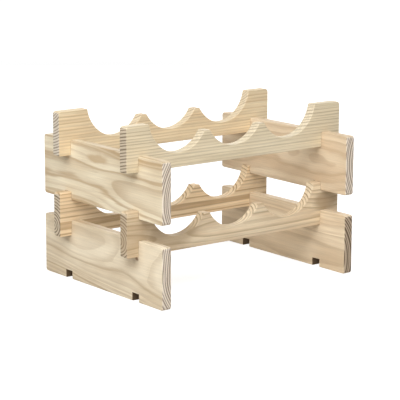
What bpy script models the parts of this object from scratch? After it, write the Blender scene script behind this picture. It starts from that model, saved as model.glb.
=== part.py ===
"""Stacking pine bottle rack: two equal tiers, each of two side boards and two scalloped rails.

The frame's origin is on the floor under the middle of the rack. X runs along the rails, Y from
the front to the back along the side boards and the bottles, and Z up. Lengths are in metres.
"""

import math

import bmesh
import bpy
from mathutils import Vector

# Stock
STOCK = 0.015             # thickness of every board and rail
ARRIS = 0.0010            # chamfer that takes the sharpness off every long edge
ARRIS_ANGLE = math.radians(60.0)          # edges that turn more than this are chamfered
ROUND_SEGMENTS = 4        # flats in each rounded corner
FIT_GAP = 0.0003          # air between two pieces that touch

# Tiers
TIERS = ("lower", "upper")
TIER_PITCH = 0.1185       # from the underside of one tier to the underside of the next

# Side boards
BOARD_LENGTH = 0.290
BOARD_HEIGHT = 0.088
BOARD_CORNER = 0.004
OUTER_WIDTH = 0.351       # from the outer face of the left board to that of the right board

# Rails
RAIL_LENGTH = 0.392
RAIL_BASE = 0.0655        # straight lower edge, above the underside of the tier
POST_HEIGHT = 0.065       # full height of a rail, at its two end posts
PEAK_HEIGHT = 0.047       # height of the two points between the cradles
RAIL_SETBACK = 0.055      # from a side board's end to the outward face of the rail
RAIL_TOE = 0.003          # rounding at the lower corners
POST_SHOULDER = 0.005     # rounding at the post's outer upper corner
POST_LIP = 0.0025         # rounding at the post's upper corner towards the bottle
PEAK_ROUND = 0.003        # rounding of the points between the cradles

# Bottle cradles
CRADLES = 3
CRADLE_RADIUS = 0.0515
CRADLE_PITCH = 0.100
CRADLE_FLOOR = 0.021      # lowest point of a cradle, above the rail's lower edge
CRADLE_OFFSET = 0.0055    # the row of cradles sits this far towards the rail's narrow post
ARC_STEPS = 22            # flats in each cradle

# Joints between the pieces
LAP_OVERLAP = BOARD_HEIGHT - RAIL_BASE    # height that a rail and a board share where they cross
SLOT_WIDTH = STOCK + 2.0 * FIT_GAP
SOCKET_SLACK = 0.0005                     # room on each side of a post top in its socket
SOCKET_WIDTH = STOCK + 2.0 * SOCKET_SLACK
SOCKET_DEPTH = RAIL_BASE + POST_HEIGHT - TIER_PITCH + FIT_GAP

RAIL_OFFSET_Y = 0.5 * BOARD_LENGTH - RAIL_SETBACK - 0.5 * STOCK
BOARD_OFFSET_X = 0.5 * (OUTER_WIDTH - STOCK)

RAIL_PINE = (0.72, 0.53, 0.31)
BOARD_PINE = (0.76, 0.60, 0.40)


def clear_scene():
    """Start from an empty file."""
    for item in list(bpy.data.objects):
        bpy.data.objects.remove(item, do_unlink=True)


def pine_material(name, colour):
    """Sanded, unfinished pine in one colour."""
    material = bpy.data.materials.new(name)
    material.use_nodes = True
    shader = material.node_tree.nodes["Principled BSDF"]
    shader.inputs["Base Color"].default_value = (*colour, 1.0)
    shader.inputs["Roughness"].default_value = 0.65
    shader.inputs["Metallic"].default_value = 0.0
    return material


def cradle_arc(centre_x):
    """One bottle cradle of the rail's outline, from its right end to its left."""
    centre_z = CRADLE_FLOOR + CRADLE_RADIUS
    # The arc ends at the peak on its inner sides, and at the post's top beside a post.
    rim_right = POST_HEIGHT if centre_x > 0.5 * CRADLE_PITCH else PEAK_HEIGHT
    rim_left = POST_HEIGHT if centre_x < -0.5 * CRADLE_PITCH else PEAK_HEIGHT
    start = math.asin((rim_right - centre_z) / CRADLE_RADIUS)
    end = -math.pi - math.asin((rim_left - centre_z) / CRADLE_RADIUS)
    points = []
    for step in range(ARC_STEPS + 1):
        angle = start + (end - start) * step / ARC_STEPS
        x = centre_x + CRADLE_RADIUS * math.cos(angle)
        points.append((x, centre_z + CRADLE_RADIUS * math.sin(angle)))
    return points


def notch(middle, half_width, edge, depth):
    """The four corners of a square notch, cut in from one edge of an outline to a depth."""
    left = middle - half_width
    right = middle + half_width
    return [(left, edge), (left, depth), (right, depth), (right, edge)]


def rail_outline():
    """Corners of a rail seen from the front, with the rounding that each one gets."""
    half = 0.5 * RAIL_LENGTH
    slot_top = 0.5 * (LAP_OVERLAP + FIT_GAP)
    outline = [(-half, 0.0, RAIL_TOE)]
    for middle in (-BOARD_OFFSET_X, BOARD_OFFSET_X):
        outline += [(x, z, 0.0) for x, z in notch(middle, 0.5 * SLOT_WIDTH, 0.0, slot_top)]
    outline.append((half, 0.0, RAIL_TOE))
    outline.append((half, POST_HEIGHT, POST_SHOULDER))
    for index in reversed(range(CRADLES)):
        centre_x = (index - 0.5 * (CRADLES - 1)) * CRADLE_PITCH
        arc = cradle_arc(centre_x)
        rounds = [0.0] * len(arc)
        rounds[0] = POST_LIP if index == CRADLES - 1 else PEAK_ROUND
        rounds[-1] = POST_LIP if index == 0 else PEAK_ROUND
        outline += [(x - CRADLE_OFFSET, z, size) for (x, z), size in zip(arc, rounds)]
    outline.append((-half, POST_HEIGHT, POST_SHOULDER))
    return outline


def board_outline():
    """Corners of a side board seen from the side, with the rounding that each one gets."""
    half = 0.5 * BOARD_LENGTH
    lap_floor = BOARD_HEIGHT - 0.5 * (LAP_OVERLAP + FIT_GAP)
    outline = [(-half, 0.0, BOARD_CORNER)]
    for middle in (-RAIL_OFFSET_Y, RAIL_OFFSET_Y):
        socket = notch(middle, 0.5 * SOCKET_WIDTH, 0.0, SOCKET_DEPTH)
        outline += [(y, z, 0.0) for y, z in socket]
    outline.append((half, 0.0, BOARD_CORNER))
    outline.append((half, BOARD_HEIGHT, BOARD_CORNER))
    for middle in (RAIL_OFFSET_Y, -RAIL_OFFSET_Y):
        lap = notch(middle, 0.5 * SLOT_WIDTH, BOARD_HEIGHT, lap_floor)
        outline += [(y, z, 0.0) for y, z in reversed(lap)]
    outline.append((-half, BOARD_HEIGHT, BOARD_CORNER))
    return outline


def cut_from_stock(name, outline):
    """A mesh of the outline, rounded at its corners and extruded to the stock's thickness.

    The outline lies in X and Z, and the stock is centred on Y = 0.
    """
    shape = bmesh.new()
    rounded = {}
    corners = []
    for x, z, size in outline:
        corner = shape.verts.new((x, -0.5 * STOCK, z))
        corners.append(corner)
        if size:
            rounded.setdefault(size, []).append(corner)
    shape.faces.new(corners)
    for size, group in rounded.items():
        bmesh.ops.bevel(shape, geom=group, offset=size, segments=ROUND_SEGMENTS, profile=0.5,
                        affect="VERTICES", clamp_overlap=True)
    front = list(shape.faces)
    sweep = bmesh.ops.extrude_face_region(shape, geom=front)
    swept = [item for item in sweep["geom"] if isinstance(item, bmesh.types.BMVert)]
    bmesh.ops.translate(shape, verts=swept, vec=Vector((0.0, STOCK, 0.0)))
    bmesh.ops.recalc_face_normals(shape, faces=list(shape.faces))
    mesh = bpy.data.meshes.new(name)
    shape.to_mesh(mesh)
    shape.free()
    return mesh


def add_piece(name, mesh, material, location, turn):
    """Place one piece, turned about Z, with its long edges eased."""
    piece = bpy.data.objects.new(name, mesh.copy())
    piece.data.name = name
    piece.data.materials.append(material)
    piece.location = location
    piece.rotation_euler = (0.0, 0.0, turn)
    bpy.context.scene.collection.objects.link(piece)
    ease = piece.modifiers.new("eased edges", "BEVEL")
    ease.width = ARRIS
    ease.segments = 1
    ease.limit_method = "ANGLE"
    ease.angle_limit = ARRIS_ANGLE
    return piece


def add_tier(tier, base_z, rail_mesh, board_mesh):
    """One tier: the back rail is the front rail turned half round."""
    for side, offset_y, turn in (("front", -RAIL_OFFSET_Y, 0.0), ("back", RAIL_OFFSET_Y, math.pi)):
        name = f"{tier}_{side}_rail"
        material = pine_material(name, RAIL_PINE)
        add_piece(name, rail_mesh, material, (0.0, offset_y, base_z + RAIL_BASE), turn)
    for side, offset_x in (("left", -BOARD_OFFSET_X), ("right", BOARD_OFFSET_X)):
        name = f"{tier}_{side}_board"
        material = pine_material(name, BOARD_PINE)
        add_piece(name, board_mesh, material, (offset_x, 0.0, base_z), 0.5 * math.pi)


def build():
    """The whole rack, one tier above the other."""
    clear_scene()
    rail_mesh = cut_from_stock("rail", rail_outline())
    board_mesh = cut_from_stock("board", board_outline())
    for level, tier in enumerate(TIERS):
        add_tier(tier, level * TIER_PITCH, rail_mesh, board_mesh)


build()
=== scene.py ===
# %% [markdown]
# # Stacking pine bottle rack
# The rack is two equal tiers of bare, sanded pine. Each tier has two plain side boards and two
# rails with bottle cradles cut into them. The lengths, the joints and the motion are settled
# already in a measured frame, so this lesson is about the looks: softly worn edges, and pine
# whose growth rings run through the whole piece, so that faces, ends and cradles all agree.

# %% Load the measured frame
import math

import bmesh
import bpy
from mathutils import Matrix, Vector


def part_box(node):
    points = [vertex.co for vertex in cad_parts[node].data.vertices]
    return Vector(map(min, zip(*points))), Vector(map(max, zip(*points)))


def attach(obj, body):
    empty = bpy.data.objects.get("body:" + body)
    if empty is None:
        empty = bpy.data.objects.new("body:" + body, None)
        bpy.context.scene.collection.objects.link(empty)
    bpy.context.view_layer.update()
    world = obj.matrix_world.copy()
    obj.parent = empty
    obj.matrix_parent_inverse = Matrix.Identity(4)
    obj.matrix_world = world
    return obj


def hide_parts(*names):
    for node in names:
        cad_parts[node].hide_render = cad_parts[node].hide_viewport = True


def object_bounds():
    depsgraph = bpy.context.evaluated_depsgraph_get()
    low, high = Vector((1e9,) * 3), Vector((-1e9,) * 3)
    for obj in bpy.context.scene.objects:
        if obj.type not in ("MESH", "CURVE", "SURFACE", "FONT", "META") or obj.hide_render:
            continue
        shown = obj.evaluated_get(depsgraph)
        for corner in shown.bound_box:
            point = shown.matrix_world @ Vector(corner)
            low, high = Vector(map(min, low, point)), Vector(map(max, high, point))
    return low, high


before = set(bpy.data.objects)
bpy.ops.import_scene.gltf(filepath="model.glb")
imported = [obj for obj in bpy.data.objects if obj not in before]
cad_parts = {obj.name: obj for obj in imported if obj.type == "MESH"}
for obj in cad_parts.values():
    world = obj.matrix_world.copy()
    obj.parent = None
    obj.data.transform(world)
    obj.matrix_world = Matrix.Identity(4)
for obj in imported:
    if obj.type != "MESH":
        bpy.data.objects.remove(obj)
cad_low, cad_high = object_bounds()

TIERS = ("lower", "upper")
STOCK = 0.015
MILLIMETRE = 0.001
SAME_PLACE = 0.01 * MILLIMETRE

# %% [markdown]
# ## Tools of the bench
# A few small helpers do what a hand does in the viewport: pick one piece, add a block at its
# size and place, take material away with a cutter, round chosen edges, and ease and smooth
# the whole piece. The cutter is a boolean, because a cradle is a true cylinder bored out of
# the rail, and a boolean leaves exactly that surface.

# %% Pick, add and cut


def pick(piece):
    """Make one object the only selected and the active one."""
    bpy.ops.object.select_all(action="DESELECT")
    piece.select_set(True)
    bpy.context.view_layer.objects.active = piece


def block(name, low, high):
    """A box between two corners, with its place in its mesh."""
    low = Vector(low)
    high = Vector(high)
    bpy.ops.object.select_all(action="DESELECT")
    bpy.ops.mesh.primitive_cube_add(size=1.0, location=(low + high) / 2, scale=high - low)
    piece = bpy.context.object
    piece.name = name
    bpy.ops.object.transform_apply(location=True, rotation=True, scale=True)
    return piece


def cut(piece, cutter):
    """Take the cutter's volume out of the piece, and throw the cutter away."""
    pick(piece)
    saw = piece.modifiers.new("cut", "BOOLEAN")
    saw.operation = "DIFFERENCE"
    saw.object = cutter
    bpy.ops.object.modifier_apply(modifier=saw.name)
    bpy.data.objects.remove(cutter)


print("saw ready")

# %% Round, ease and smooth
EASE = 0.0014
EASE_SEGMENTS = 3
SHARP_ANGLE = math.radians(50.0)
SMOOTH_ANGLE = math.radians(40.0)
SLIVER = 0.6 * MILLIMETRE
LARGE_FACES_FIRST = 100


def round_edges(piece, chosen, radius, segments):
    """Bevel the edges that the test picks out by their two ends."""
    pick(piece)
    bpy.ops.object.mode_set(mode="EDIT")
    bpy.ops.mesh.select_mode(type="EDGE")
    bpy.ops.mesh.select_all(action="DESELECT")
    shape = bmesh.from_edit_mesh(piece.data)
    count = 0
    for edge in shape.edges:
        if chosen(edge.verts[0].co, edge.verts[1].co):
            edge.select = True
            count += 1
    bmesh.update_edit_mesh(piece.data)
    bpy.ops.mesh.bevel(offset=radius, segments=segments, affect="EDGES")
    bpy.ops.object.mode_set(mode="OBJECT")
    return count


def merge_points(piece, nearer_than):
    """Make one point of those that lie nearer to each other than this."""
    pick(piece)
    bpy.ops.object.mode_set(mode="EDIT")
    bpy.ops.mesh.select_all(action="SELECT")
    bpy.ops.mesh.remove_doubles(threshold=nearer_than)
    bpy.ops.object.mode_set(mode="OBJECT")


def ease_edges(piece):
    """Round every long sharp edge slightly, as sandpaper does."""
    # Slivers left where a round meets a bored arc would stop the bevel, so they close up first.
    merge_points(piece, SLIVER)
    ease = piece.modifiers.new("ease", "BEVEL")
    ease.width = EASE
    ease.segments = EASE_SEGMENTS
    ease.limit_method = "ANGLE"
    ease.angle_limit = SHARP_ANGLE
    bpy.ops.object.modifier_apply(modifier=ease.name)
    # Where three rounds meet, the bevel can leave edges with no length. They close up too.
    merge_points(piece, SAME_PLACE)


def smooth(piece):
    """Smooth shading that leaves the flat faces flat."""
    pick(piece)
    bpy.ops.object.shade_smooth_by_angle(angle=SMOOTH_ANGLE)
    weigh = piece.modifiers.new("flat faces", "WEIGHTED_NORMAL")
    weigh.keep_sharp = True
    weigh.weight = LARGE_FACES_FIRST
    bpy.ops.object.modifier_apply(modifier=weigh.name)


print("eased edges", EASE * 1000, "mm")

# %% [markdown]
# ## The rail
# A rail is one plank on edge: a straight lower edge, a tall post at each end and three round
# cradles between them. It could be drawn as one outline and extruded. Here it is made as in a
# workshop: a plank is rounded at its corners, lowered between the posts, and bored three
# times. Only then are the long edges eased, and the lap slots are sawn last, so that their
# edges stay crisp as on the real rack.

# %% Sizes of the rail, read from the frame
rail_low, rail_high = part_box("upper_front_rail")
board_low, board_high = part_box("upper_left_board")
rail_middle = (rail_low + rail_high) / 2

CRADLE_RADIUS = 0.0515
CRADLE_PITCH = 0.100
CRADLE_OFFSET = 0.0055
CRADLE_FLOOR = rail_low.z + 0.021
PEAK_TOP = rail_low.z + 0.047
POST_SHOULDER = 0.005
RAIL_TOE = 0.003
PEAK_ROUND = 0.003
POST_LIP = 0.0025
CRADLE_SIDES = 192
FIT_GAP = 0.0003
LAP_OVERLAP = board_high.z - rail_low.z
CUT_MARGIN = 0.01

cradle_centres = [(step - 1) * CRADLE_PITCH - CRADLE_OFFSET for step in range(3)]
print("rail", [round(size * 1000, 1) for size in rail_high - rail_low], "mm")

# %% Shape one rail


def along_y(a, b):
    """True for an edge that runs straight through the thickness of a rail."""
    return abs(a.x - b.x) < SAME_PLACE and abs(a.z - b.z) < SAME_PLACE


def shape_rail(name):
    """One rail at the place of the upper front one."""
    rail = block(name, rail_low, rail_high)
    top = rail_high.z
    round_edges(rail, lambda a, b: along_y(a, b) and a.z > top - SAME_PLACE,
                POST_SHOULDER, segments=6)
    round_edges(rail, lambda a, b: along_y(a, b) and a.z < rail_low.z + SAME_PLACE,
                RAIL_TOE, segments=5)

    front = rail_low.y - CUT_MARGIN
    back = rail_high.y + CUT_MARGIN
    lowering = block("lowering", (cradle_centres[0], front, PEAK_TOP),
                     (cradle_centres[-1], back, top + CUT_MARGIN))
    cut(rail, lowering)
    for centre_x in cradle_centres:
        bpy.ops.mesh.primitive_cylinder_add(
            vertices=CRADLE_SIDES, radius=CRADLE_RADIUS, depth=back - front,
            location=(centre_x, rail_middle.y, CRADLE_FLOOR + CRADLE_RADIUS),
            rotation=(math.radians(90.0), 0.0, 0.0))
        cut(rail, bpy.context.object)

    reach = CRADLE_RADIUS + 0.5 * MILLIMETRE
    inside = [cradle_centres[0] - reach, cradle_centres[-1] + reach]
    tips = round_edges(rail, lambda a, b: along_y(a, b) and abs(a.z - PEAK_TOP) < SAME_PLACE
                       and inside[0] < a.x < inside[1], PEAK_ROUND, segments=5)
    lips = round_edges(rail, lambda a, b: along_y(a, b) and abs(a.z - top) < SAME_PLACE
                       and inside[0] < a.x < inside[1], POST_LIP, segments=4)
    ease_edges(rail)

    half_slot = 0.5 * STOCK + FIT_GAP
    slot_top = rail_low.z + 0.5 * (LAP_OVERLAP + FIT_GAP)
    for side in (-1, 1):
        middle = side * abs(board_low.x + board_high.x) / 2
        cut(rail, block("slot", (middle - half_slot, front, rail_low.z - CUT_MARGIN),
                        (middle + half_slot, back, slot_top)))
    smooth(rail)
    print(name, "rounded tips", tips, "and lips", lips, "vertices", len(rail.data.vertices))
    return rail


master_rail = shape_rail("upper_front_rail_pine")

# %% [markdown]
# ## The side board
# A side board is a plain plank on edge with rounded corners. Two slots from above take the
# rails, and two shallow square sockets from below sit on the post tops of the tier beneath.
# Slots and sockets could be part of a drawn outline. Sawing them out of the eased plank with
# the same cutter as before is shorter, and it leaves their edges crisp, as a saw does.

# %% Shape one board
BOARD_CORNER = 0.004
SOCKET_SLACK = 0.0005
SOCKET_DEPTH = 0.0123


def along_x(a, b):
    """True for an edge that runs straight through the thickness of a side board."""
    return abs(a.y - b.y) < SAME_PLACE and abs(a.z - b.z) < SAME_PLACE


def shape_board(name):
    """One side board at the place of the upper left one."""
    board = block(name, board_low, board_high)
    round_edges(board, along_x, BOARD_CORNER, segments=6)
    ease_edges(board)
    left = board_low.x - CUT_MARGIN
    right = board_high.x + CUT_MARGIN
    lap_floor = board_high.z - 0.5 * (LAP_OVERLAP + FIT_GAP)
    half_lap = 0.5 * STOCK + FIT_GAP
    half_socket = 0.5 * STOCK + SOCKET_SLACK
    for side in (-1, 1):
        middle = side * abs(rail_middle.y)
        cut(board, block("lap", (left, middle - half_lap, lap_floor),
                         (right, middle + half_lap, board_high.z + CUT_MARGIN)))
        cut(board, block("socket", (left, middle - half_socket, board_low.z - CUT_MARGIN),
                         (right, middle + half_socket, board_low.z + SOCKET_DEPTH)))
    smooth(board)
    print(name, "vertices", len(board.data.vertices))
    return board


master_board = shape_board("upper_left_board_pine")

# %% [markdown]
# ## Four of each
# The rack repeats its two shapes, so each is modelled once. The copies could share one mesh
# and be placed by their objects, but a pattern that reads object coordinates would then be the
# same on all of them. So each copy gets a mesh of its own with its place in it. The back rail
# is the front rail turned half round, which puts its wide post on the other side.

# %% Copy the pieces to their places


def copy_to(master, name, matrix):
    """A copy with its own mesh, moved by the matrix in the mesh itself."""
    piece = bpy.data.objects.new(name, master.data.copy())
    bpy.context.scene.collection.objects.link(piece)
    piece.data.transform(matrix)
    piece.data.name = name
    return piece


tier_drop = Vector((0.0, 0.0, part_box("lower_left_board")[0].z - board_low.z))
half_turn = Matrix.Rotation(math.pi, 4, "Z")
across = Matrix.Translation((abs(board_low.x + board_high.x), 0.0, 0.0))
pieces = {}
for tier in TIERS:
    down = Matrix.Translation(tier_drop if tier == "lower" else Vector())
    for node, master, place in ((f"{tier}_front_rail", master_rail, Matrix()),
                                (f"{tier}_back_rail", master_rail, half_turn),
                                (f"{tier}_left_board", master_board, Matrix()),
                                (f"{tier}_right_board", master_board, across)):
        own = f"{node}_pine" == master.name
        pieces[node] = master if own else copy_to(master, f"{node}_pine", down @ place)
for node, piece in pieces.items():
    print(node, "->", piece.name, len(piece.data.polygons), "faces")

# %% [markdown]
# ## Pine, from the tree outwards
# Every mark on a pine board comes from the trunk: the growth rings are nearly round shells
# about the pith, and a board is a straight cut through them. So the rings are computed in
# three dimensions, as the distance from a pith line that each board places differently. A
# pith far out to the side gives straight lines, one behind the face gives the flame figure of
# a flat-sawn board, and the end shows arcs, all from one formula. A flat picture of wood on
# every face would be quicker, but its lines would not meet at the edges. Each effect is a node
# group with named sockets, built once and used in every board with its own values.

# %% Make a group and feed its sockets
FLOAT = "NodeSocketFloat"
VECTOR = "NodeSocketVector"
COLOUR = "NodeSocketColor"


def new_group(name, inputs, outputs):
    """An empty shader group. Inputs are (name, kind, start value), outputs (name, kind)."""
    group = bpy.data.node_groups.new(name, "ShaderNodeTree")
    for label, kind, start in inputs:
        socket = group.interface.new_socket(name=label, in_out="INPUT", socket_type=kind)
        if start is not None:
            socket.default_value = start
    for label, kind in outputs:
        group.interface.new_socket(name=label, in_out="OUTPUT", socket_type=kind)
    return group, group.nodes.new("NodeGroupInput"), group.nodes.new("NodeGroupOutput")


def feed(tree, target, value):
    """Put a socket or a plain value into an input socket."""
    if isinstance(value, bpy.types.NodeSocket):
        tree.links.new(value, target)
    elif value is not None:
        target.default_value = value


print("groups can be made and fed")

# %% Helpers that place nodes
NOISE_MIDDLE = (0.5, 0.5, 0.5)


def maths(tree, operation, *values):
    """A Math node, and its result."""
    node = tree.nodes.new("ShaderNodeMath")
    node.operation = operation
    for target, value in zip(node.inputs, values):
        feed(tree, target, value)
    return node.outputs[0]


def vectors(tree, operation, first, second=None):
    """A Vector Math node, and its result."""
    node = tree.nodes.new("ShaderNodeVectorMath")
    node.operation = operation
    feed(tree, node.inputs[0], first)
    feed(tree, node.inputs[1], second)
    return node.outputs["Value" if operation in ("LENGTH", "DOT_PRODUCT") else "Vector"]


def combine(tree, *parts):
    """One vector out of three numbers."""
    node = tree.nodes.new("ShaderNodeCombineXYZ")
    for target, part in zip(node.inputs, parts):
        feed(tree, target, part)
    return node.outputs[0]


def separate(tree, vector):
    """The three numbers of a vector."""
    node = tree.nodes.new("ShaderNodeSeparateXYZ")
    feed(tree, node.inputs[0], vector)
    return node.outputs


def grey(tree, brightness):
    """A grey of this brightness, to multiply a colour with."""
    node = tree.nodes.new("ShaderNodeCombineColor")
    for channel in node.inputs:
        feed(tree, channel, brightness)
    return node.outputs[0]


def ramp(tree, value, low, high, to_low=0.0, to_high=1.0):
    """A smooth step from one value to another."""
    node = tree.nodes.new("ShaderNodeMapRange")
    node.interpolation_type = "SMOOTHSTEP"
    for target, entry in zip(node.inputs, (value, low, high, to_low, to_high)):
        feed(tree, target, entry)
    return node.outputs["Result"]


def mix(tree, amount, first, second, blend="MIX"):
    """A colour mix."""
    node = tree.nodes.new("ShaderNodeMix")
    node.data_type = "RGBA"
    node.blend_type = blend
    feed(tree, node.inputs["Factor"], amount)
    # A Mix node keeps its two colour inputs and its colour output under these numbers.
    feed(tree, node.inputs[6], first)
    feed(tree, node.inputs[7], second)
    return node.outputs[2]


def noise(tree, point, stretch, seed, detail=2.0, roughness=0.5):
    """Noise from 0 to 1, with so many waves a metre along, across and through the board."""
    scaled = vectors(tree, "MULTIPLY", point, stretch)
    node = tree.nodes.new("ShaderNodeTexNoise")
    node.noise_dimensions = "4D"
    node.inputs["Scale"].default_value = 1.0
    node.inputs["Detail"].default_value = detail
    node.inputs["Roughness"].default_value = roughness
    feed(tree, node.inputs["Vector"], scaled)
    feed(tree, node.inputs["W"], seed)
    return node.outputs


def ring_noise(tree, rate, count):
    """Noise that depends on the ring count alone, so that it follows the rings."""
    node = tree.nodes.new("ShaderNodeTexNoise")
    node.noise_dimensions = "1D"
    node.inputs["Scale"].default_value = rate
    node.inputs["Detail"].default_value = 1.0
    feed(tree, node.inputs["W"], count)
    return node.outputs[0]


print("node helpers ready")

# %% [markdown]
# ### Growth rings
# The pith line may lean and wander, which bends the figure along the board. Dividing the
# distance from it by the ring width counts the rings. Within a ring the pale early wood
# darkens slowly into late wood and then stops at a sharp line, and no two rings are alike.
# Some runs of rings are browner than their neighbours. They are the broad bands that fall
# across a flat-sawn board, and fine wisps make their borders ragged along the grain. The
# wave texture can draw rings too, but it cannot give each ring its own width and tone.

# %% Ring group
DRIFT_ACROSS = 1.6
DRIFT_DEEP = 1.2
UNEVEN_RATE = 0.45
LATE_FULL = 0.88
LATE_STOP = 0.91
FAINTEST_RING = 0.5
BAND_RATE = 0.55
BAND_EDGE = (0.49, 0.60)
BAND_SEED_STEP = 3.1
WISP_STRETCH = (11.0, 150.0, 150.0)
WISP_DEPTH = 1.4


def build_rings():
    """Rings about the board's pith line: late wood, a tone for each ring, and bands."""
    group, start, end = new_group(
        "growth rings",
        (("Board Point", VECTOR, None), ("Pith Across", FLOAT, 0.0), ("Pith Deep", FLOAT, 0.05),
         ("Lean Across", FLOAT, 0.0), ("Lean Deep", FLOAT, 0.0), ("Wander", FLOAT, 0.004),
         ("Wander Rate", FLOAT, 8.0), ("Ring Width", FLOAT, 0.005), ("Uneven", FLOAT, 1.0),
         ("Early Share", FLOAT, 0.4), ("Swirl", FLOAT, 0.0), ("Band Shift", FLOAT, 0.0),
         ("Seed", FLOAT, 0.0)),
        (("Late Wood", FLOAT), ("Ring Tone", FLOAT), ("Band", FLOAT)))
    take = start.outputs
    along, across, deep = separate(group, take["Board Point"])

    rate = combine(group, take["Wander Rate"],
                   maths(group, "MULTIPLY", take["Wander Rate"], DRIFT_ACROSS),
                   maths(group, "MULTIPLY", take["Wander Rate"], DRIFT_DEEP))
    drift = noise(group, take["Board Point"], rate, take["Seed"], roughness=0.45)
    drifts = separate(group, vectors(group, "SUBTRACT", drift["Color"], NOISE_MIDDLE))

    squares = []
    for place, pith, lean, drift_part in ((across, "Pith Across", "Lean Across", drifts[0]),
                                          (deep, "Pith Deep", "Lean Deep", drifts[1])):
        leaning = maths(group, "MULTIPLY", along, take[lean])
        line = maths(group, "ADD", take[pith], leaning)
        wander = maths(group, "MULTIPLY", drift_part, take["Wander"])
        offset = maths(group, "ADD", maths(group, "SUBTRACT", place, line), wander)
        squares.append(maths(group, "MULTIPLY", offset, offset))
    distance = maths(group, "SQRT", maths(group, "ADD", *squares))

    count = maths(group, "DIVIDE", distance, take["Ring Width"])
    uneven = ring_noise(group, UNEVEN_RATE, maths(group, "ADD", count, take["Seed"]))
    shift = maths(group, "MULTIPLY", uneven, take["Uneven"])
    count = maths(group, "ADD", maths(group, "ADD", count, shift), take["Swirl"])
    phase = maths(group, "FRACT", count)
    rise = ramp(group, phase, take["Early Share"], LATE_FULL)
    stop = ramp(group, phase, LATE_STOP, 1.0, 1.0, 0.0)
    late = maths(group, "MULTIPLY", rise, stop)

    tone = group.nodes.new("ShaderNodeTexWhiteNoise")
    tone.noise_dimensions = "1D"
    feed(group, tone.inputs["W"], maths(group, "ADD", maths(group, "FLOOR", count), take["Seed"]))
    strength = maths(group, "MULTIPLY_ADD", tone.outputs["Value"], 1.0 - FAINTEST_RING,
                     FAINTEST_RING)
    feed(group, end.inputs["Late Wood"], maths(group, "MULTIPLY", late, strength))
    feed(group, end.inputs["Ring Tone"], tone.outputs["Value"])

    wisps = noise(group, take["Board Point"], WISP_STRETCH, take["Seed"],
                  detail=3.0, roughness=0.6)
    ragged = maths(group, "MULTIPLY_ADD", wisps[0], WISP_DEPTH, count)
    chosen = maths(group, "MULTIPLY_ADD", take["Seed"], BAND_SEED_STEP, take["Band Shift"])
    bands = ring_noise(group, BAND_RATE, maths(group, "ADD", ragged, chosen))
    feed(group, end.inputs["Band"], ramp(group, bands, *BAND_EDGE))
    return group


rings_group = build_rings()
print(rings_group.name, "nodes", len(rings_group.nodes))

# %% [markdown]
# ### Knots and brown patches
# A branch pushes the rings aside before it is sawn through. The group gives a swirl, which is
# added to the ring count so that the lines flow round the spot, and a core of darker wood.
# Drawn out along the grain and with no push, the same core is a long brown patch. A knot
# could be painted on, but bending the rings themselves carries it through to the other face.

# %% Knot group
WOBBLE_STRETCH = (60.0, 60.0, 20.0)
WOBBLE_DEPTH = 0.006
CORE_EDGE = (0.65, 1.35)
SWIRL_STRETCH = (0.45, 1.0, 0.0)


def build_knot():
    """A swirl for the ring count, and the mask of the knot's core."""
    group, start, end = new_group(
        "knot",
        (("Board Point", VECTOR, None), ("Along", FLOAT, 0.0), ("Across", FLOAT, 0.0),
         ("Radius", FLOAT, 0.004), ("Stretch", FLOAT, 0.5), ("Spread", FLOAT, 0.02),
         ("Push", FLOAT, 1.0), ("Strength", FLOAT, 0.75), ("Seed", FLOAT, 0.0)),
        (("Swirl", FLOAT), ("Core", FLOAT)))
    take = start.outputs
    centre = combine(group, take["Along"], take["Across"])
    wobble = noise(group, take["Board Point"], WOBBLE_STRETCH, take["Seed"])
    centred = vectors(group, "SUBTRACT", wobble["Color"], NOISE_MIDDLE)
    offset = vectors(group, "ADD", vectors(group, "SUBTRACT", take["Board Point"], centre),
                     vectors(group, "MULTIPLY", centred, (WOBBLE_DEPTH,) * 3))

    oval = vectors(group, "LENGTH", vectors(group, "MULTIPLY", offset, SWIRL_STRETCH))
    reach = maths(group, "DIVIDE", oval, take["Spread"])
    square = maths(group, "MULTIPLY", reach, reach)
    bell = maths(group, "EXPONENT", maths(group, "MULTIPLY", square, -1.0))
    feed(group, end.inputs["Swirl"], maths(group, "MULTIPLY", bell, take["Push"]))

    drawn_out = combine(group, take["Stretch"], 1.0)
    near = vectors(group, "LENGTH", vectors(group, "MULTIPLY", offset, drawn_out))
    edge = [maths(group, "MULTIPLY", take["Radius"], share) for share in CORE_EDGE]
    core = ramp(group, near, *edge, 1.0, 0.0)
    feed(group, end.inputs["Core"], maths(group, "MULTIPLY", core, take["Strength"]))
    return group


knot_group = build_knot()
print(knot_group.name, "nodes", len(knot_group.nodes))

# %% [markdown]
# ### Fibres, blotches and sawn ends
# Between the rings the wood is drawn out in fine streaks along the grain, with broad, faint
# patches of warmer and greyer wood. Where the saw crosses the fibres the board shows open
# pores that drink light, so the ends look greyer and darker, with much bolder ring lines. The
# steep flanks of a cradle lie between face and end. The walls of the slots and sockets in a
# side board are painted nearly black, as painted shade for the shadow inside them.
# These faces could be picked by hand.
# Here the slope of the surface against the grain and the distance from the board's end find
# them, so that one material covers the whole board.

# %% Fibre group and end group
STREAK_STRETCH = (9.0, 420.0, 420.0)
HAIR_STRETCH = (45.0, 2600.0, 2600.0)
BLOTCH_STRETCH = (9.0, 26.0, 26.0)
BLOTCH_EDGE = (0.35, 0.68)
PORE_STRETCH = (300.0, 1900.0, 1900.0)
FLANK_FACING = (0.25, 0.95)
NOTCH_FACING = (0.90, 0.97)
END_SKIN = (0.0004, 0.0012)
NOTCH_INSET = (0.006, 0.010)


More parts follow.
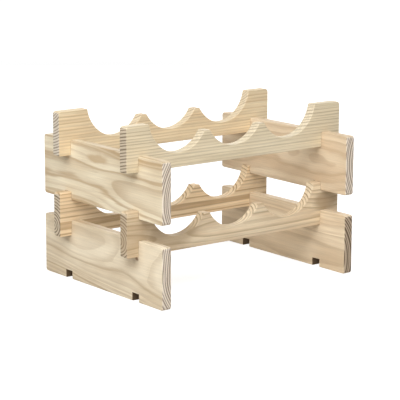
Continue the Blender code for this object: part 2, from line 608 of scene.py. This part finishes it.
def build_fibres():
    """Streaks, hairs and blotches, all drawn out along the grain."""
    group, start, end = new_group(
        "fibres", (("Board Point", VECTOR, None), ("Seed", FLOAT, 0.0)),
        (("Streaks", FLOAT), ("Hairs", FLOAT), ("Blotches", FLOAT)))
    take = start.outputs
    streaks = noise(group, take["Board Point"], STREAK_STRETCH, take["Seed"],
                    detail=3.0, roughness=0.6)
    hairs = noise(group, take["Board Point"], HAIR_STRETCH, take["Seed"], roughness=0.6)
    blotches = noise(group, take["Board Point"], BLOTCH_STRETCH, take["Seed"])
    feed(group, end.inputs["Streaks"], streaks[0])
    feed(group, end.inputs["Hairs"], hairs[0])
    feed(group, end.inputs["Blotches"], ramp(group, blotches[0], *BLOTCH_EDGE))
    return group


def build_end_cut():
    """Masks of the places where the saw crossed the grain."""
    group, start, end = new_group(
        "end cut", (("Board Point", VECTOR, None), ("Half Length", FLOAT, 0.2),
                    ("Surface Normal", VECTOR, None), ("Grain", VECTOR, None)),
        (("Sawn", FLOAT), ("Crossing", FLOAT), ("Notch", FLOAT), ("Pores", FLOAT)))
    take = start.outputs
    slope = vectors(group, "DOT_PRODUCT", take["Surface Normal"], take["Grain"])
    facing = maths(group, "ABSOLUTE", slope)
    feed(group, end.inputs["Crossing"], ramp(group, facing, *FLANK_FACING))

    from_middle = maths(group, "ABSOLUTE", separate(group, take["Board Point"])[0])
    from_end = maths(group, "SUBTRACT", take["Half Length"], from_middle)
    feed(group, end.inputs["Sawn"], ramp(group, from_end, *END_SKIN, 1.0, 0.0))
    # The notch mask picks out the walls of the slots and sockets, which the finish darkens as
    # painted shade.
    inside = ramp(group, from_end, *NOTCH_INSET)
    steep = ramp(group, facing, *NOTCH_FACING)
    feed(group, end.inputs["Notch"], maths(group, "MULTIPLY", inside, steep))
    pores = noise(group, take["Board Point"], PORE_STRETCH, 0.0, roughness=0.7)
    feed(group, end.inputs["Pores"], pores[0])
    return group


fibres_group = build_fibres()
end_group = build_end_cut()
print(fibres_group.name, "and", end_group.name)

# %% [markdown]
# ### The colour of bare pine
# One more group turns those masks into a colour, a roughness and a height. Late wood is
# browner, denser and a little shinier, and it stands slightly proud, because sanding wears
# the soft early wood faster. The colour could be one long ramp from pale to brown. Laying the
# tints over each other, one mask at a time, lets every board weigh them in its own way.

# %% Pine finish group
BLOTCH_TINT = 0.55
RING_TINT = 0.2
FLANK_TINT = 0.45
FLANK_DARKENING = 0.35
END_BOLDNESS = 2.6
STREAK_SPAN = (0.30, 0.70)
STREAK_LIFT = 0.6
HAIR_SPAN = (0.25, 0.75)
HAIR_SHADE = (0.92, 1.06)
PORE_SPAN = (0.3, 0.7)
PORE_SHADE = (0.86, 1.08)
# Painted shade: the near-black laid on the slot and socket walls of a side board, for the shadow
# inside them.
NOTCH_SHADE_COLOUR = (0.13, 0.085, 0.045, 1.0)
FACE_ROUGHNESS = 0.62
LATE_SHINE = -0.10
END_DULLNESS = 0.25
HAIR_HEIGHT = 0.35


def build_finish():
    """Colour, roughness and height of bare, sanded pine."""
    group, start, end = new_group(
        "pine finish",
        (("Late Wood", FLOAT, 0.0), ("Ring Tone", FLOAT, 0.5), ("Band", FLOAT, 0.0),
         ("Streaks", FLOAT, 0.5), ("Hairs", FLOAT, 0.5), ("Blotches", FLOAT, 0.0),
         ("Sawn", FLOAT, 0.0), ("Crossing", FLOAT, 0.0), ("Notch", FLOAT, 0.0),
         ("Pores", FLOAT, 0.5), ("Core", FLOAT, 0.0), ("Contrast", FLOAT, 0.5),
         ("Band Strength", FLOAT, 0.5), ("Streak Depth", FLOAT, 0.1),
         ("Flank Contrast", FLOAT, 0.3), ("End Contrast", FLOAT, 0.8),
         ("Notch Burn", FLOAT, 0.0), ("Early Colour", COLOUR, (0.8, 0.65, 0.45, 1.0)),
         ("Late Colour", COLOUR, (0.55, 0.35, 0.18, 1.0)),
         ("Patch Colour", COLOUR, (0.7, 0.52, 0.33, 1.0)),
         ("Flank Colour", COLOUR, (0.9, 0.82, 0.66, 1.0)),
         ("End Colour", COLOUR, (0.5, 0.42, 0.33, 1.0)),
         ("End Late Colour", COLOUR, (0.2, 0.15, 0.1, 1.0)),
         ("Core Colour", COLOUR, (0.2, 0.1, 0.045, 1.0))),
        (("Color", COLOUR), ("Roughness", FLOAT), ("Height", FLOAT)))
    take = start.outputs

    wood = take["Early Colour"]
    for brown in (maths(group, "MULTIPLY", take["Blotches"], BLOTCH_TINT),
                  maths(group, "MULTIPLY", take["Band"], take["Band Strength"]),
                  maths(group, "MULTIPLY", take["Ring Tone"], RING_TINT)):
        wood = mix(group, brown, wood, take["Patch Colour"])
    wood = mix(group, maths(group, "MULTIPLY", take["Crossing"], FLANK_TINT),
               wood, take["Flank Colour"])
    bolder = maths(group, "MULTIPLY_ADD", take["Crossing"], take["Flank Contrast"],
                   take["Contrast"])
    late = maths(group, "MULTIPLY", take["Late Wood"], maths(group, "MINIMUM", bolder, 1.0))
    late_colour = mix(group, maths(group, "MULTIPLY", take["Crossing"], FLANK_DARKENING),
                      take["Late Colour"], take["End Late Colour"])
    wood = mix(group, late, wood, late_colour)
    depth = take["Streak Depth"]
    streak = ramp(group, take["Streaks"], *STREAK_SPAN, maths(group, "SUBTRACT", 1.0, depth),
                  maths(group, "MULTIPLY_ADD", depth, STREAK_LIFT, 1.0))
    hair = ramp(group, take["Hairs"], *HAIR_SPAN, *HAIR_SHADE)
    wood = mix(group, 1.0, wood, grey(group, maths(group, "MULTIPLY", streak, hair)), "MULTIPLY")

    bold = maths(group, "MINIMUM", maths(group, "MULTIPLY", take["Late Wood"], END_BOLDNESS), 1.0)
    end_wood = mix(group, maths(group, "MULTIPLY", bold, take["End Contrast"]),
                   take["End Colour"], take["End Late Colour"])
    pore = ramp(group, take["Pores"], *PORE_SPAN, *PORE_SHADE)
    end_wood = mix(group, 1.0, end_wood, grey(group, pore), "MULTIPLY")
    wood = mix(group, take["Sawn"], wood, end_wood)
    wood = mix(group, take["Core"], wood, take["Core Colour"])
    # Painted shade: the slot and socket walls darken towards near black, as strongly as the board's
    # notch shade value says.
    wood = mix(group, maths(group, "MULTIPLY", take["Notch"], take["Notch Burn"]), wood, NOTCH_SHADE_COLOUR)
    feed(group, end.inputs["Color"], wood)

    rough = maths(group, "MULTIPLY_ADD", take["Late Wood"], LATE_SHINE, FACE_ROUGHNESS)
    feed(group, end.inputs["Roughness"],
         maths(group, "MULTIPLY_ADD", take["Sawn"], END_DULLNESS, rough))
    height = maths(group, "MULTIPLY_ADD", take["Hairs"], HAIR_HEIGHT, take["Late Wood"])
    open_pores = maths(group, "MULTIPLY", take["Sawn"], take["Pores"])
    feed(group, end.inputs["Height"], maths(group, "ADD", height, open_pores))
    return group


finish_group = build_finish()
print(finish_group.name, "nodes", len(finish_group.nodes))

# %% [markdown]
# ### Eight boards out of the same forest
# Each board says where its pith was, how wide its rings are, how strong its figure is, and
# where it has knots or brown patches. Lengths are in metres, measured from the board's own
# middle: along is with the grain, across is up the board's face and deep is through its
# thickness. A seed chooses the wander of the rings, and the band shift which rings are brown.
# Eight materials could be built by hand. A table of values and one function keep them alike
# where they should be, and rails share a second set, as they are cut from straighter wood.

# %% What each board is


def spot(along, across, radius, stretch, spread, push, strength):
    """A knot or a patch. Radius, stretch and strength make its core, the rest bend the rings."""
    return {"Along": along, "Across": across, "Radius": radius, "Stretch": stretch,
            "Spread": spread, "Push": push, "Strength": strength}


# Pith and lean are across and deep. The pith line strays by wander, rate times a metre. Ring
# is a ring's width, uneven says how much the widths differ, and early_share is the pale part.
# Contrast, band, flank_contrast, end_contrast and streak say how strong a mark is, and
# notch_shade how much painted shade darkens the slot and socket walls. The colours are for
# early and late wood, brown patch, cradle flank, sawn end and knot.
BOARD_DEFAULTS = {
    "pith": (0.0, 0.10), "lean": (0.0, 0.0), "wander": 0.016, "rate": 5.0, "ring": 0.0034,
    "uneven": 1.0, "early_share": 0.30, "contrast": 0.46, "band": 0.80, "band_shift": 0.0,
    "flank_contrast": 0.2, "end_contrast": 0.95, "streak": 0.05, "notch_shade": 1.0, "spots": (),
    "early": (0.88, 0.775, 0.595), "late": (0.50, 0.375, 0.235), "patch": (0.59, 0.45, 0.285),
    "flank": (0.88, 0.78, 0.60), "end": (0.83, 0.73, 0.61), "end_late": (0.34, 0.26, 0.20),
    "core": (0.22, 0.12, 0.06)}
RAIL = {
    "wander": 0.002, "rate": 8.0, "ring": 0.0045, "uneven": 0.7, "early_share": 0.45,
    "streak": 0.12, "notch_shade": 0.0, "end": (0.60, 0.50, 0.37), "end_late": (0.17, 0.125, 0.075)}
BOARDS = {
    "upper_front_rail": {
        **RAIL, "seed": 2.0, "pith": (-0.30, 0.064), "ring": 0.0043, "rate": 5.0,
        "contrast": 0.62, "band": 0.10, "end_contrast": 0.85,
        "early": (0.83, 0.72, 0.52), "late": (0.44, 0.33, 0.20), "patch": (0.68, 0.56, 0.37)},
    "upper_back_rail": {
        **RAIL, "seed": 5.0, "pith": (0.055, -0.022), "ring": 0.0040, "wander": 0.004,
        "contrast": 0.48, "band": 0.25, "end_contrast": 0.7, "end": (0.68, 0.60, 0.49),
        "early": (0.86, 0.72, 0.49), "late": (0.48, 0.31, 0.15), "patch": (0.76, 0.57, 0.35)},
    "lower_front_rail": {
        **RAIL, "seed": 9.0, "pith": (-0.010, -0.009), "contrast": 0.66, "band": 0.45,
        "flank_contrast": 0.5, "flank": (0.84, 0.69, 0.49), "core": (0.40, 0.28, 0.16),
        "early": (0.88, 0.74, 0.53), "late": (0.40, 0.28, 0.15), "patch": (0.68, 0.51, 0.33),
        # These three spots, at the first cradle, the right post and the left post, are partly knots
        # and a brown patch and partly painted shade where the upper tier shades this rail.
        "spots": (spot(-0.118, -0.006, 0.020, 0.45, 0.024, 1.4, 0.6),
                  spot(0.172, 0.004, 0.014, 0.60, 0.020, 1.2, 0.75),
                  spot(-0.184, 0.000, 0.030, 0.90, 0.020, 0.0, 0.48))},
    "lower_back_rail": {
        **RAIL, "seed": 12.5, "pith": (-0.0165, -0.009), "ring": 0.0047,
        "contrast": 0.72, "band": 0.32, "flank_contrast": 0.5, "flank": (0.80, 0.62, 0.40),
        "early": (0.90, 0.73, 0.50), "late": (0.40, 0.25, 0.12), "patch": (0.80, 0.58, 0.35)},
    "upper_left_board": {
        "seed": 61.9, "pith": (-0.004, 0.080), "lean": (0.05, 0.02), "wander": 0.018,
        "contrast": 0.54, "band": 0.95, "band_shift": 6.3, "core": (0.54, 0.40, 0.24),
        "early": (0.86, 0.765, 0.575), "late": (0.47, 0.335, 0.20), "patch": (0.53, 0.385, 0.225),
        "spots": (spot(0.008, 0.026, 0.0058, 0.24, 0.014, 0.5, 0.85),)},
    "upper_right_board": {
        "seed": 155.6, "pith": (0.0, 0.080), "rate": 7.0, "contrast": 0.40, "band": 0.55,
        "early": (0.84, 0.70, 0.51), "late": (0.50, 0.35, 0.21), "patch": (0.64, 0.47, 0.30)},
    "lower_left_board": {
        "seed": 242.0, "pith": (0.020, 0.075), "lean": (0.08, 0.02), "wander": 0.018,
        "contrast": 0.52, "band": 0.75, "band_shift": 3.0,
        "early": (0.86, 0.755, 0.575), "late": (0.46, 0.34, 0.21), "patch": (0.52, 0.39, 0.24),
        "spots": (spot(-0.086, 0.018, 0.0022, 0.55, 0.030, 2.2, 0.75),)},
    "lower_right_board": {
        "seed": 343.0, "pith": (-0.018, -0.065), "ring": 0.0042, "wander": 0.012, "rate": 6.0,
        "contrast": 0.5, "band": 0.5, "end": (0.55, 0.43, 0.31), "end_late": (0.14, 0.095, 0.055),
        "early": (0.90, 0.76, 0.56), "late": (0.52, 0.37, 0.22), "patch": (0.68, 0.51, 0.33)},
}
# The rows of a matrix are the directions along the grain, across the face and through it.
GRAIN = {
    "rail": Matrix(((1, 0, 0), (0, 0, 1), (0, -1, 0))),
    "board": Matrix(((0, 1, 0), (0, 0, 1), (1, 0, 0))),
}
print(len(BOARDS), "boards described")

# %% The material of one board
FIBRE_SEED_STEP = 0.5
BUMP_STRENGTH = 0.35
BUMP_DEPTH = 0.0004
SHEEN_OF_BARE_WOOD = 0.35


def opaque(colour):
    """A colour with its alpha."""
    return (*colour, 1.0)


def pine(node):
    """The material of one board: its own place in the tree, shared groups, one Principled."""
    own = {**BOARD_DEFAULTS, **BOARDS[node]}
    seed = own["seed"]
    low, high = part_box(node)
    turn = GRAIN["rail" if node.endswith("rail") else "board"]
    half_length = (turn @ (high - low)).x / 2
    material = bpy.data.materials.new(f"{node}_pine")
    material.use_nodes = True
    tree = material.node_tree
    shader = tree.nodes["Principled BSDF"]
    coordinates = tree.nodes.new("ShaderNodeTexCoord")
    mapping = tree.nodes.new("ShaderNodeMapping")
    mapping.inputs["Rotation"].default_value = turn.to_euler()
    mapping.inputs["Location"].default_value = turn @ (-(low + high) / 2)
    feed(tree, mapping.inputs["Vector"], coordinates.outputs["Object"])
    point = mapping.outputs["Vector"]

    def place(group, **values):
        """A group node with the board's point and values in its sockets."""
        user = tree.nodes.new("ShaderNodeGroup")
        user.node_tree = group
        if "Board Point" in user.inputs:
            feed(tree, user.inputs["Board Point"], point)
        for label, value in values.items():
            feed(tree, user.inputs[label.replace("_", " ")], value)
        return user.outputs

    swirl = core = None
    for values in own["spots"]:
        knot = place(knot_group, Seed=seed, **values)
        swirl = knot["Swirl"] if swirl is None else maths(tree, "ADD", swirl, knot["Swirl"])
        core = knot["Core"] if core is None else maths(tree, "MAXIMUM", core, knot["Core"])
    rings = place(rings_group, Pith_Across=own["pith"][0], Pith_Deep=own["pith"][1],
                  Lean_Across=own["lean"][0], Lean_Deep=own["lean"][1], Wander=own["wander"],
                  Wander_Rate=own["rate"], Ring_Width=own["ring"], Uneven=own["uneven"],
                  Early_Share=own["early_share"], Swirl=swirl, Band_Shift=own["band_shift"],
                  Seed=seed)
    fibres = place(fibres_group, Seed=seed + FIBRE_SEED_STEP)
    ends = place(end_group, Half_Length=half_length, Grain=turn[0],
                 Surface_Normal=coordinates.outputs["Normal"])
    masks = {output.name.replace(" ", "_"): output
             for outputs in (rings, fibres, ends) for output in outputs}
    finish = place(finish_group, **masks, Core=core,
                   Contrast=own["contrast"], Band_Strength=own["band"],
                   Streak_Depth=own["streak"], Flank_Contrast=own["flank_contrast"],
                   End_Contrast=own["end_contrast"], Notch_Burn=own["notch_shade"],
                   Early_Colour=opaque(own["early"]), Late_Colour=opaque(own["late"]),
                   Patch_Colour=opaque(own["patch"]), Flank_Colour=opaque(own["flank"]),
                   End_Colour=opaque(own["end"]), End_Late_Colour=opaque(own["end_late"]),
                   Core_Colour=opaque(own["core"]))
    bump = tree.nodes.new("ShaderNodeBump")
    bump.inputs["Strength"].default_value = BUMP_STRENGTH
    bump.inputs["Distance"].default_value = BUMP_DEPTH
    feed(tree, bump.inputs["Height"], finish["Height"])
    feed(tree, shader.inputs["Base Color"], finish["Color"])
    feed(tree, shader.inputs["Roughness"], finish["Roughness"])
    feed(tree, shader.inputs["Normal"], bump.outputs["Normal"])
    shader.inputs["Specular IOR Level"].default_value = SHEEN_OF_BARE_WOOD
    return material


print("one function for", len(BOARDS), "materials")

# %% Give every piece its material and its body, in place of the frame's piece
for node, piece in pieces.items():
    piece.data.materials.clear()
    piece.data.materials.append(pine(node))
    tier = node.split("_")[0]
    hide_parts(node)
    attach(piece, f"{tier}_tier")
print("materials:", sorted(material.name for material in bpy.data.materials))

# %% [markdown]
# ## Studio
# The rack stands on a plain pale floor in a white room. Large soft lamps at the left and the
# front left give most of the light, one lamp high in front fills the faces and the tops, and
# two weaker ones behind and at the right keep the far sides from going grey. Floor and sky
# look white to the camera. The sky gives the pieces hardly any light, so that the lamps shape
# them, and far from the rack the floor glows a little more and melts into the sky. A curved
# backdrop would hide the horizon too, but only from one side.

# %% Floor
FLOOR_SIZE = 12.0
FLOOR_DROP = 0.0002
FLOOR_SEEN = (0.55, 0.55, 0.55, 1.0)
FLOOR_BOUNCE = (0.64, 0.63, 0.61, 1.0)
NEAR_GLOW = 0.72
SKY_GLOW = 1.02
FADE = (1.0, 4.0)
WHITE = (1.0, 1.0, 1.0, 1.0)
FLOOR_ROUGHNESS = 0.9

bpy.ops.object.select_all(action="DESELECT")
bpy.ops.mesh.primitive_plane_add(size=FLOOR_SIZE, location=(0.0, 0.0, -FLOOR_DROP))
floor = bpy.context.object
floor.name = "studio_floor"
floor_paint = bpy.data.materials.new("studio_floor")
floor_paint.use_nodes = True
floor_tree = floor_paint.node_tree
floor_shader = floor_tree.nodes["Principled BSDF"]
floor_shader.inputs["Roughness"].default_value = FLOOR_ROUGHNESS
floor_shader.inputs["Emission Color"].default_value = WHITE
seen = floor_tree.nodes.new("ShaderNodeLightPath").outputs["Is Camera Ray"]
feed(floor_tree, floor_shader.inputs["Base Color"],
     mix(floor_tree, seen, FLOOR_BOUNCE, FLOOR_SEEN))
floor_point = floor_tree.nodes.new("ShaderNodeTexCoord").outputs["Object"]
glow = ramp(floor_tree, vectors(floor_tree, "LENGTH", floor_point), *FADE, NEAR_GLOW, SKY_GLOW)
feed(floor_tree, floor_shader.inputs["Emission Strength"], maths(floor_tree, "MULTIPLY", seen, glow))
floor.data.materials.append(floor_paint)
print("floor", FLOOR_SIZE, "m wide")

# %% Sky
SKY_LIGHT = 0.08
sky = bpy.data.worlds.new("studio")
sky.use_nodes = True
sky_tree = sky.node_tree
seen = sky_tree.nodes.new("ShaderNodeLightPath").outputs["Is Camera Ray"]
background = sky_tree.nodes["Background"]
background.inputs["Color"].default_value = WHITE
feed(sky_tree, background.inputs["Strength"],
     maths(sky_tree, "MULTIPLY_ADD", seen, SKY_GLOW - SKY_LIGHT, SKY_LIGHT))
bpy.context.scene.world = sky
bpy.context.scene.view_settings.view_transform = "Standard"
print("sky strength on the pieces", SKY_LIGHT)

# %% Lamps
LAMP_DISTANCE = 2.2
# Each lamp's name, azimuth and elevation in degrees, width in metres, and power in watts.
LAMPS = (("left", -82.0, 38.0, 1.5, 24.5),
         ("front_left", -41.0, 35.0, 1.3, 26.5),
         ("high_front", 0.0, 58.0, 1.2, 14.0),
         ("behind", 145.0, 20.0, 1.4, 16.0),
         ("right", 88.0, 28.0, 1.4, 12.0))


def softbox(name, place, aim, size, power):
    """A square area lamp at a place, turned to a point."""
    lamp = bpy.data.lights.new(name, "AREA")
    lamp.size = size
    lamp.energy = power
    stand = bpy.data.objects.new(name, lamp)
    stand.location = place
    stand.rotation_mode = "QUATERNION"
    stand.rotation_quaternion = (aim - place).to_track_quat("-Z", "Y")
    bpy.context.scene.collection.objects.link(stand)


def away_from_rack(azimuth, elevation):
    """A direction in degrees: azimuth 0 is in front, and positive turns towards the right."""
    azimuth = math.radians(azimuth)
    elevation = math.radians(elevation)
    return Vector((math.sin(azimuth) * math.cos(elevation),
                   -math.cos(azimuth) * math.cos(elevation), math.sin(elevation)))


middle = (cad_low + cad_high) / 2
for name, azimuth, elevation, size, power in LAMPS:
    softbox(name, middle + away_from_rack(azimuth, elevation) * LAMP_DISTANCE, middle, size, power)
    print("lamp", name, power, "W")

# %% [markdown]
# ## Camera
# A long lens looks from the front left, a little above the rack, and the rack's edges stay
# nearly parallel. A short lens close by would splay them. The camera aims a touch below the
# rack's middle and is rolled by a fifth of a degree. Distances are in metres, and the focal
# length is in millimetres.

# %% Camera
AZIMUTH = -38.16
ELEVATION = 11.92
ROLL = math.radians(0.2)
DISTANCE = 2.513
FOCAL_LENGTH = 153.2
AIM_SHIFT = Vector((0.0020, -0.0156, 0.0))
back_to_camera = away_from_rack(AZIMUTH, ELEVATION)
upright = (-back_to_camera).to_track_quat("-Z", "Y")
aim = Vector((0.0, 0.0, middle.z)) + upright @ AIM_SHIFT
camera_data = bpy.data.cameras.new("camera")
camera_data.lens = FOCAL_LENGTH
camera = bpy.data.objects.new("camera", camera_data)
camera.location = aim + back_to_camera * DISTANCE
camera.rotation_mode = "QUATERNION"
camera.rotation_quaternion = upright @ Matrix.Rotation(ROLL, 3, "Z").to_quaternion()
bpy.context.scene.collection.objects.link(camera)
bpy.context.scene.camera = camera
print("camera at", [round(value, 3) for value in camera.location])
